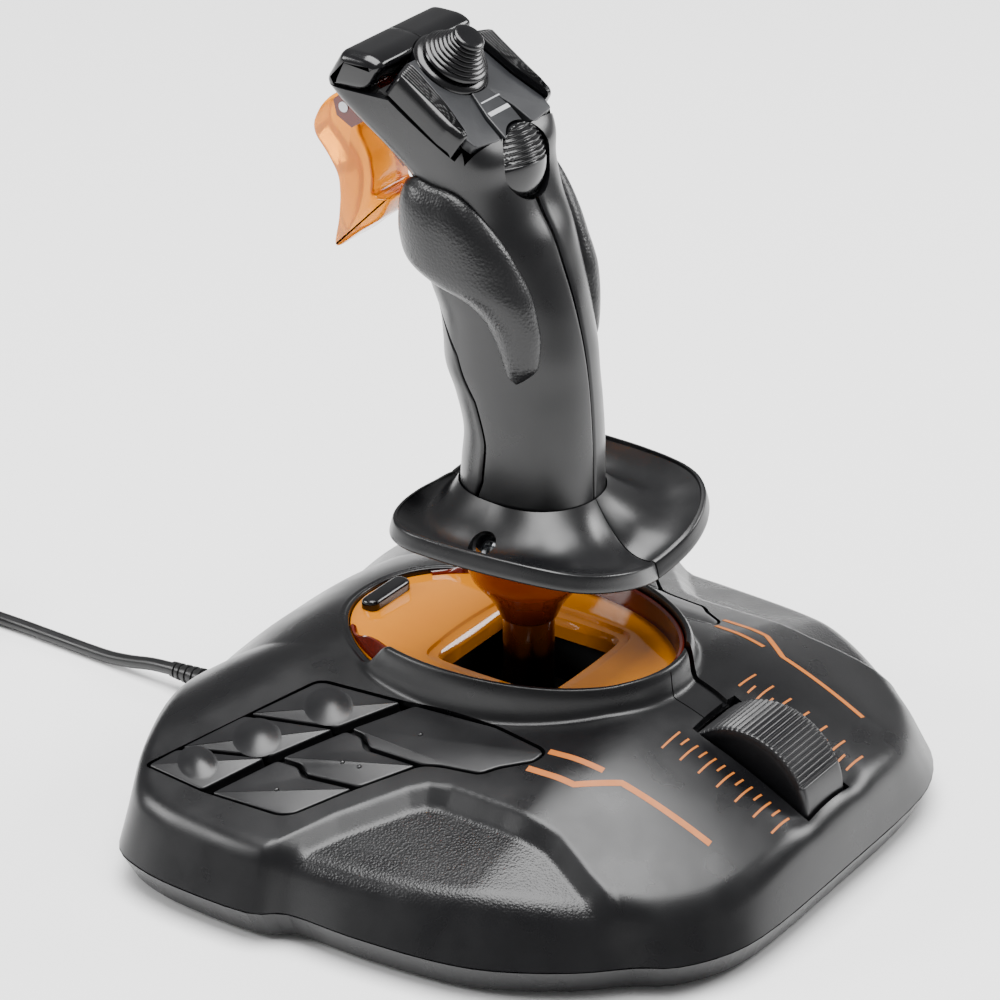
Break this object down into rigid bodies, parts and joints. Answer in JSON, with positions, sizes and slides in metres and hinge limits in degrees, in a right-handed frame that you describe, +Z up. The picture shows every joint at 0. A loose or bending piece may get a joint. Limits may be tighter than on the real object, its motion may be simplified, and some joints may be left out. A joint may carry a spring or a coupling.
{
  "type": "flight joystick",
  "caption": "Desk flight joystick: broad base with side button groups, throttle wheel and lit disc; tilting, twisting pistol grip with hand rest, trigger, hat and thumb buttons; USB cable.",
  "frame": {"origin": "point on the desk under the middle of the base, on the axis of the upright shaft", "axes": "+Y forward, away from the user; +X to the user's right; +Z up"},
  "size_m": [0.2224, 0.366, 0.2272],
  "materials": {
    "shell_plastic": "black moulded ABS with a fine spark texture",
    "satin_plastic": "black moulded ABS, smoother",
    "inner_plastic": "black acetal, hidden parts",
    "pad_rubber": "black soft-touch, pebble grain",
    "foot_rubber": "matt black rubber",
    "cable_jacket": "black PVC",
    "plug_body": "black over-moulded plug with a plated shell",
    "amber_clear": "amber clear polycarbonate",
    "shaft_resin": "smoked amber clear polycarbonate",
    "steel_parts": "zinc-plated steel",
    "circuit_laminate": "green solder mask",
    "pot_body": "blue potentiometer body",
    "button_plastic": "black moulded caps"
  },
  "bodies": {
    "base": {"base_tray": "shell_plastic", "top_shell": "shell_plastic", "rubber_feet": "foot_rubber", "base_screws": "steel_parts", "ballast_plate": "steel_parts", "light_disc": "amber_clear", "disc_clip": "shell_plastic", "gimbal_housing": "inner_plastic", "pitch_spring": "steel_parts", "circuit_board": "circuit_laminate", "led_ring": "circuit_laminate", "throttle_axle": "steel_parts", "throttle_pot": "pot_body", "button_frame_left": "shell_plastic", "button_frame_right": "shell_plastic", "button_boards": "circuit_laminate", "strain_relief": "cable_jacket", "cable_tube": "cable_jacket", "cable_coil": "cable_jacket", "cable_tie": "cable_jacket", "usb_plug": "plug_body"},
    "gimbal": {"gimbal_ring": "inner_plastic", "roll_spring": "steel_parts"},
    "stick": {"stick_shaft": "shaft_resin", "shaft_bell": "amber_clear"},
    "grip": {"twist_bushing": "inner_plastic", "twist_sensor": "circuit_laminate", "hand_rest_left": "shell_plastic", "hand_rest_right": "shell_plastic", "grip_left_shell": "shell_plastic", "grip_right_shell": "shell_plastic", "grip_spine": "shell_plastic", "thumb_rest": "pad_rubber", "palm_rest": "pad_rubber", "grip_screws": "steel_parts", "head_cap_left": "satin_plastic", "head_cap_right": "satin_plastic", "hat_plate": "satin_plastic", "head_frame": "inner_plastic", "trigger_bracket": "inner_plastic", "trigger_pin": "steel_parts"},
    "trigger": {"trigger": "amber_clear"},
    "hat_cross": {"hat_cross": "steel_parts"},
    "hat": {"hat_cap": "satin_plastic"},
    "thumb_button": {"thumb_button": "satin_plastic"},
    "head_button_left": {"head_button_left": "satin_plastic"},
    "head_button_right": {"head_button_right": "satin_plastic"},
    "throttle": {"throttle_wheel": "satin_plastic"},
    "button_left_1": {"button_left_1": "button_plastic"},
    "button_left_2": {"button_left_2": "button_plastic"},
    "button_left_3": {"button_left_3": "button_plastic"},
    "button_left_4": {"button_left_4": "button_plastic"},
    "button_left_5": {"button_left_5": "button_plastic"},
    "button_left_6": {"button_left_6": "button_plastic"},
    "button_right_1": {"button_right_1": "button_plastic"},
    "button_right_2": {"button_right_2": "button_plastic"},
    "button_right_3": {"button_right_3": "button_plastic"},
    "button_right_4": {"button_right_4": "button_plastic"},
    "button_right_5": {"button_right_5": "button_plastic"},
    "button_right_6": {"button_right_6": "button_plastic"}
  },
  "joints": [
    {"name": "stick_pitch", "type": "hinge", "parent": "base", "child": "gimbal", "pos_m": [0, 0, 0.022], "axis": [1, 0, 0], "range_deg": [-18, 18], "stiffness_Nm_per_rad": 2},
    {"name": "stick_roll", "type": "hinge", "parent": "gimbal", "child": "stick", "pos_m": [0, 0, 0.022], "axis": [0, 1, 0], "range_deg": [-18, 18], "stiffness_Nm_per_rad": 2},
    {"name": "grip_twist", "type": "hinge", "parent": "stick", "child": "grip", "pos_m": [0, 0, 0.1], "axis": [0, 0, 1], "range_deg": [-12, 12], "stiffness_Nm_per_rad": 0.4},
    {"name": "trigger_pull", "type": "hinge", "parent": "grip", "child": "trigger", "pos_m": [0, 0.0525, 0.2015], "axis": [-1, 0, 0], "range_deg": [0, 8], "stiffness_Nm_per_rad": 0.15},
    {"name": "hat_up_down", "type": "hinge", "parent": "grip", "child": "hat_cross", "pos_m": [0, 0.02912, 0.20961], "axis": [1, 0, 0], "range_deg": [-7, 7], "stiffness_Nm_per_rad": 0.05},
    {"name": "hat_side", "type": "hinge", "parent": "hat_cross", "child": "hat", "pos_m": [0, 0.02912, 0.20961], "axis": [0, -0.8348, -0.5505], "range_deg": [-7, 7], "stiffness_Nm_per_rad": 0.05},
    {"name": "thumb_press", "type": "slide", "parent": "grip", "child": "thumb_button", "axis": [0, 0.9781, -0.2079], "range_m": [0, 0.0012], "stiffness_N_per_m": 600},
    {"name": "head_left_press", "type": "slide", "parent": "grip", "child": "head_button_left", "axis": [0, 0.5505, -0.8348], "range_m": [0, 0.001], "stiffness_N_per_m": 600},
    {"name": "head_right_press", "type": "slide", "parent": "grip", "child": "head_button_right", "axis": [0, 0.5505, -0.8348], "range_m": [0, 0.001], "stiffness_N_per_m": 600},
    {"name": "throttle_turn", "type": "hinge", "parent": "base", "child": "throttle", "pos_m": [0, -0.0765, 0.0273], "axis": [1, 0, 0], "range_deg": [-25, 25]},
    {"name": "button_left_1_press", "type": "slide", "parent": "base", "child": "button_left_1", "axis": [0.2785, 0, -0.9604], "range_m": [0, 0.001], "stiffness_N_per_m": 600},
    {"name": "button_left_2_press", "type": "slide", "parent": "base", "child": "button_left_2", "axis": [0.2785, 0, -0.9604], "range_m": [0, 0.001], "stiffness_N_per_m": 600},
    {"name": "button_left_3_press", "type": "slide", "parent": "base", "child": "button_left_3", "axis": [0.2785, 0, -0.9604], "range_m": [0, 0.001], "stiffness_N_per_m": 600},
    {"name": "button_left_4_press", "type": "slide", "parent": "base", "child": "button_left_4", "axis": [0.2785, 0, -0.9604], "range_m": [0, 0.001], "stiffness_N_per_m": 600},
    {"name": "button_left_5_press", "type": "slide", "parent": "base", "child": "button_left_5", "axis": [0.2785, 0, -0.9604], "range_m": [0, 0.001], "stiffness_N_per_m": 600},
    {"name": "button_left_6_press", "type": "slide", "parent": "base", "child": "button_left_6", "axis": [0.2785, 0, -0.9604], "range_m": [0, 0.001], "stiffness_N_per_m": 600},
    {"name": "button_right_1_press", "type": "slide", "parent": "base", "child": "button_right_1", "axis": [-0.2785, 0, -0.9604], "range_m": [0, 0.001], "stiffness_N_per_m": 600},
    {"name": "button_right_2_press", "type": "slide", "parent": "base", "child": "button_right_2", "axis": [-0.2785, 0, -0.9604], "range_m": [0, 0.001], "stiffness_N_per_m": 600},
    {"name": "button_right_3_press", "type": "slide", "parent": "base", "child": "button_right_3", "axis": [-0.2785, 0, -0.9604], "range_m": [0, 0.001], "stiffness_N_per_m": 600},
    {"name": "button_right_4_press", "type": "slide", "parent": "base", "child": "button_right_4", "axis": [-0.2785, 0, -0.9604], "range_m": [0, 0.001], "stiffness_N_per_m": 600},
    {"name": "button_right_5_press", "type": "slide", "parent": "base", "child": "button_right_5", "axis": [-0.2785, 0, -0.9604], "range_m": [0, 0.001], "stiffness_N_per_m": 600},
    {"name": "button_right_6_press", "type": "slide", "parent": "base", "child": "button_right_6", "axis": [-0.2785, 0, -0.9604], "range_m": [0, 0.001], "stiffness_N_per_m": 600}
  ]
}
